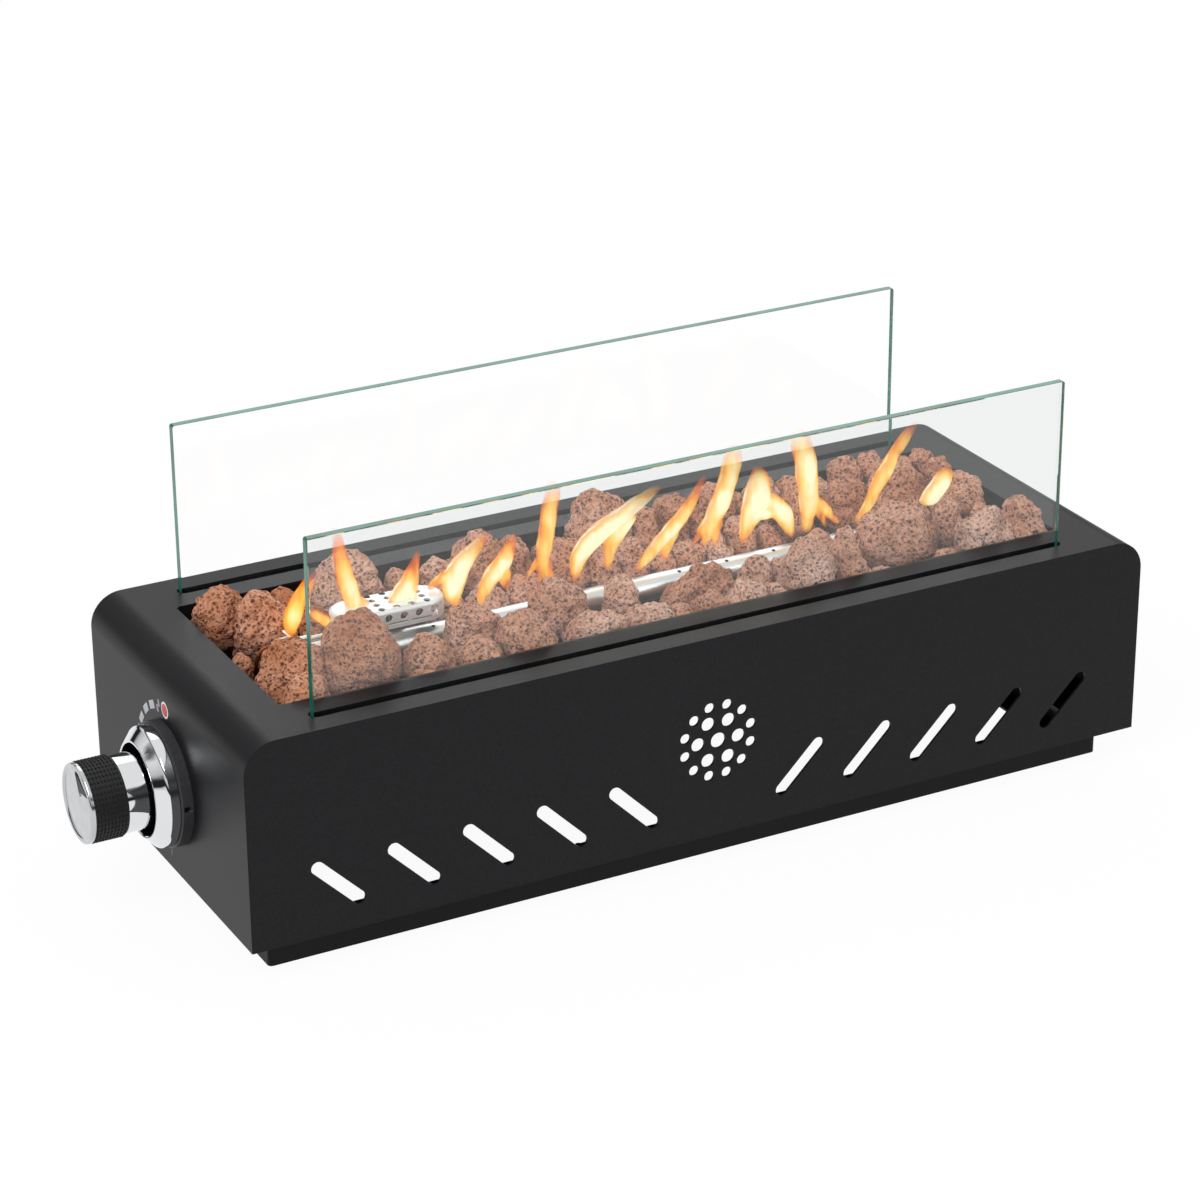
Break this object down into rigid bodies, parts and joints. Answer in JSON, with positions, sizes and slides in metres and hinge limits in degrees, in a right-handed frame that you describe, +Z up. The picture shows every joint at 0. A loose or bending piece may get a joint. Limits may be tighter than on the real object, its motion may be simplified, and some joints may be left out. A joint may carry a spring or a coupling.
{
  "type": "tabletop gas fire pit",
  "caption": "Rectangular tabletop gas fire pit: steel housing on a recessed plinth, tube burner under lava stones, two lift-out glass guards and a push-and-turn gas knob at one end.",
  "frame": {"origin": "on the ground plane under the rubber feet, below the middle of the whole object's length (knob included) and of its depth", "axes": "+X along the length, away from the knob; +Y from the front panel to the rear panel; +Z up"},
  "size_m": [0.602, 0.212, 0.236],
  "materials": {
    "coated_steel": "dark grey powder coat, fine satin grain",
    "black_steel": "black powder coat, satin",
    "black_rubber": "moulded, dull",
    "black_plastic": "moulded, satin",
    "chrome": "polished plating",
    "stainless": "polished stainless sheet and tube",
    "brass": "turned, bright",
    "white_ceramic": "white glazed insulator",
    "red_insulation": "silicone insulation",
    "copper": "drawn copper tube",
    "aluminium_pipe": "drawn tube",
    "valve_casting": "die-cast, matt",
    "white_plastic": "moulded",
    "zinc_steel": "zinc plated",
    "clear_glass": "clear toughened glass, green at the edges",
    "lava_stone": "porous reddish-brown lava, rough"
  },
  "bodies": {
    "housing": {"housing_wrap": "coated_steel", "front_panel": "coated_steel", "rear_panel": "coated_steel", "plinth_front": "black_steel", "plinth_left": "black_steel", "plinth_right": "black_steel", "plinth_rear": "black_steel", "plinth_rear_short": "black_steel", "foot_pads": "black_rubber", "plinth_screws": "zinc_steel", "burner_tray": "coated_steel", "tray_studs": "zinc_steel", "tray_nuts": "zinc_steel", "burner_tube": "stainless", "burner_end_cap": "stainless", "burner_supports": "stainless", "pilot_cover": "stainless", "probe_bracket": "stainless", "spark_electrode": "white_ceramic", "thermocouple": "brass", "tray_screws": "zinc_steel", "ignition_lead": "red_insulation", "thermocouple_lead": "copper", "gas_jet": "brass", "gas_pipe": "aluminium_pipe", "gas_valve": "valve_casting", "gas_inlet": "brass", "piezo_igniter": "white_plastic", "igniter_nut": "zinc_steel", "valve_screws": "zinc_steel", "ring_screws": "zinc_steel", "knob_ring": "black_plastic", "knob_bezel": "chrome", "bezel_grub_screw": "zinc_steel", "front_channel": "black_steel", "rear_channel": "black_steel", "glass_pads": "black_rubber", "glass_wedges": "black_rubber", "stones_front": "lava_stone", "stones_inner_front": "lava_stone", "stones_inner_back": "lava_stone", "stones_back": "lava_stone", "stones_large": "lava_stone"},
    "push_plate": {"push_plate": "zinc_steel"},
    "knob": {"valve_stem": "zinc_steel", "knob_barrel": "chrome", "knob_grip": "black_rubber", "knob_cap": "chrome", "knob_grub_screw": "zinc_steel"},
    "front_glass": {"front_glass": "clear_glass"},
    "rear_glass": {"rear_glass": "clear_glass"}
  },
  "joints": [
    {"name": "knob_push", "type": "slide", "parent": "housing", "child": "push_plate", "axis": [1, 0, 0], "range_m": [0, 0.005], "stiffness_N_per_m": 2000, "springref_m": -0.003},
    {"name": "knob_turn", "type": "hinge", "parent": "push_plate", "child": "knob", "pos_m": [-0.279, 0, 0.072], "axis": [-1, 0, 0], "range_deg": [0, 180]},
    {"name": "front_glass_lift", "type": "slide", "parent": "housing", "child": "front_glass", "axis": [0, 0, 1], "range_m": [0, 0.12]},
    {"name": "rear_glass_lift", "type": "slide", "parent": "housing", "child": "rear_glass", "axis": [0, 0, 1], "range_m": [0, 0.12]}
  ]
}
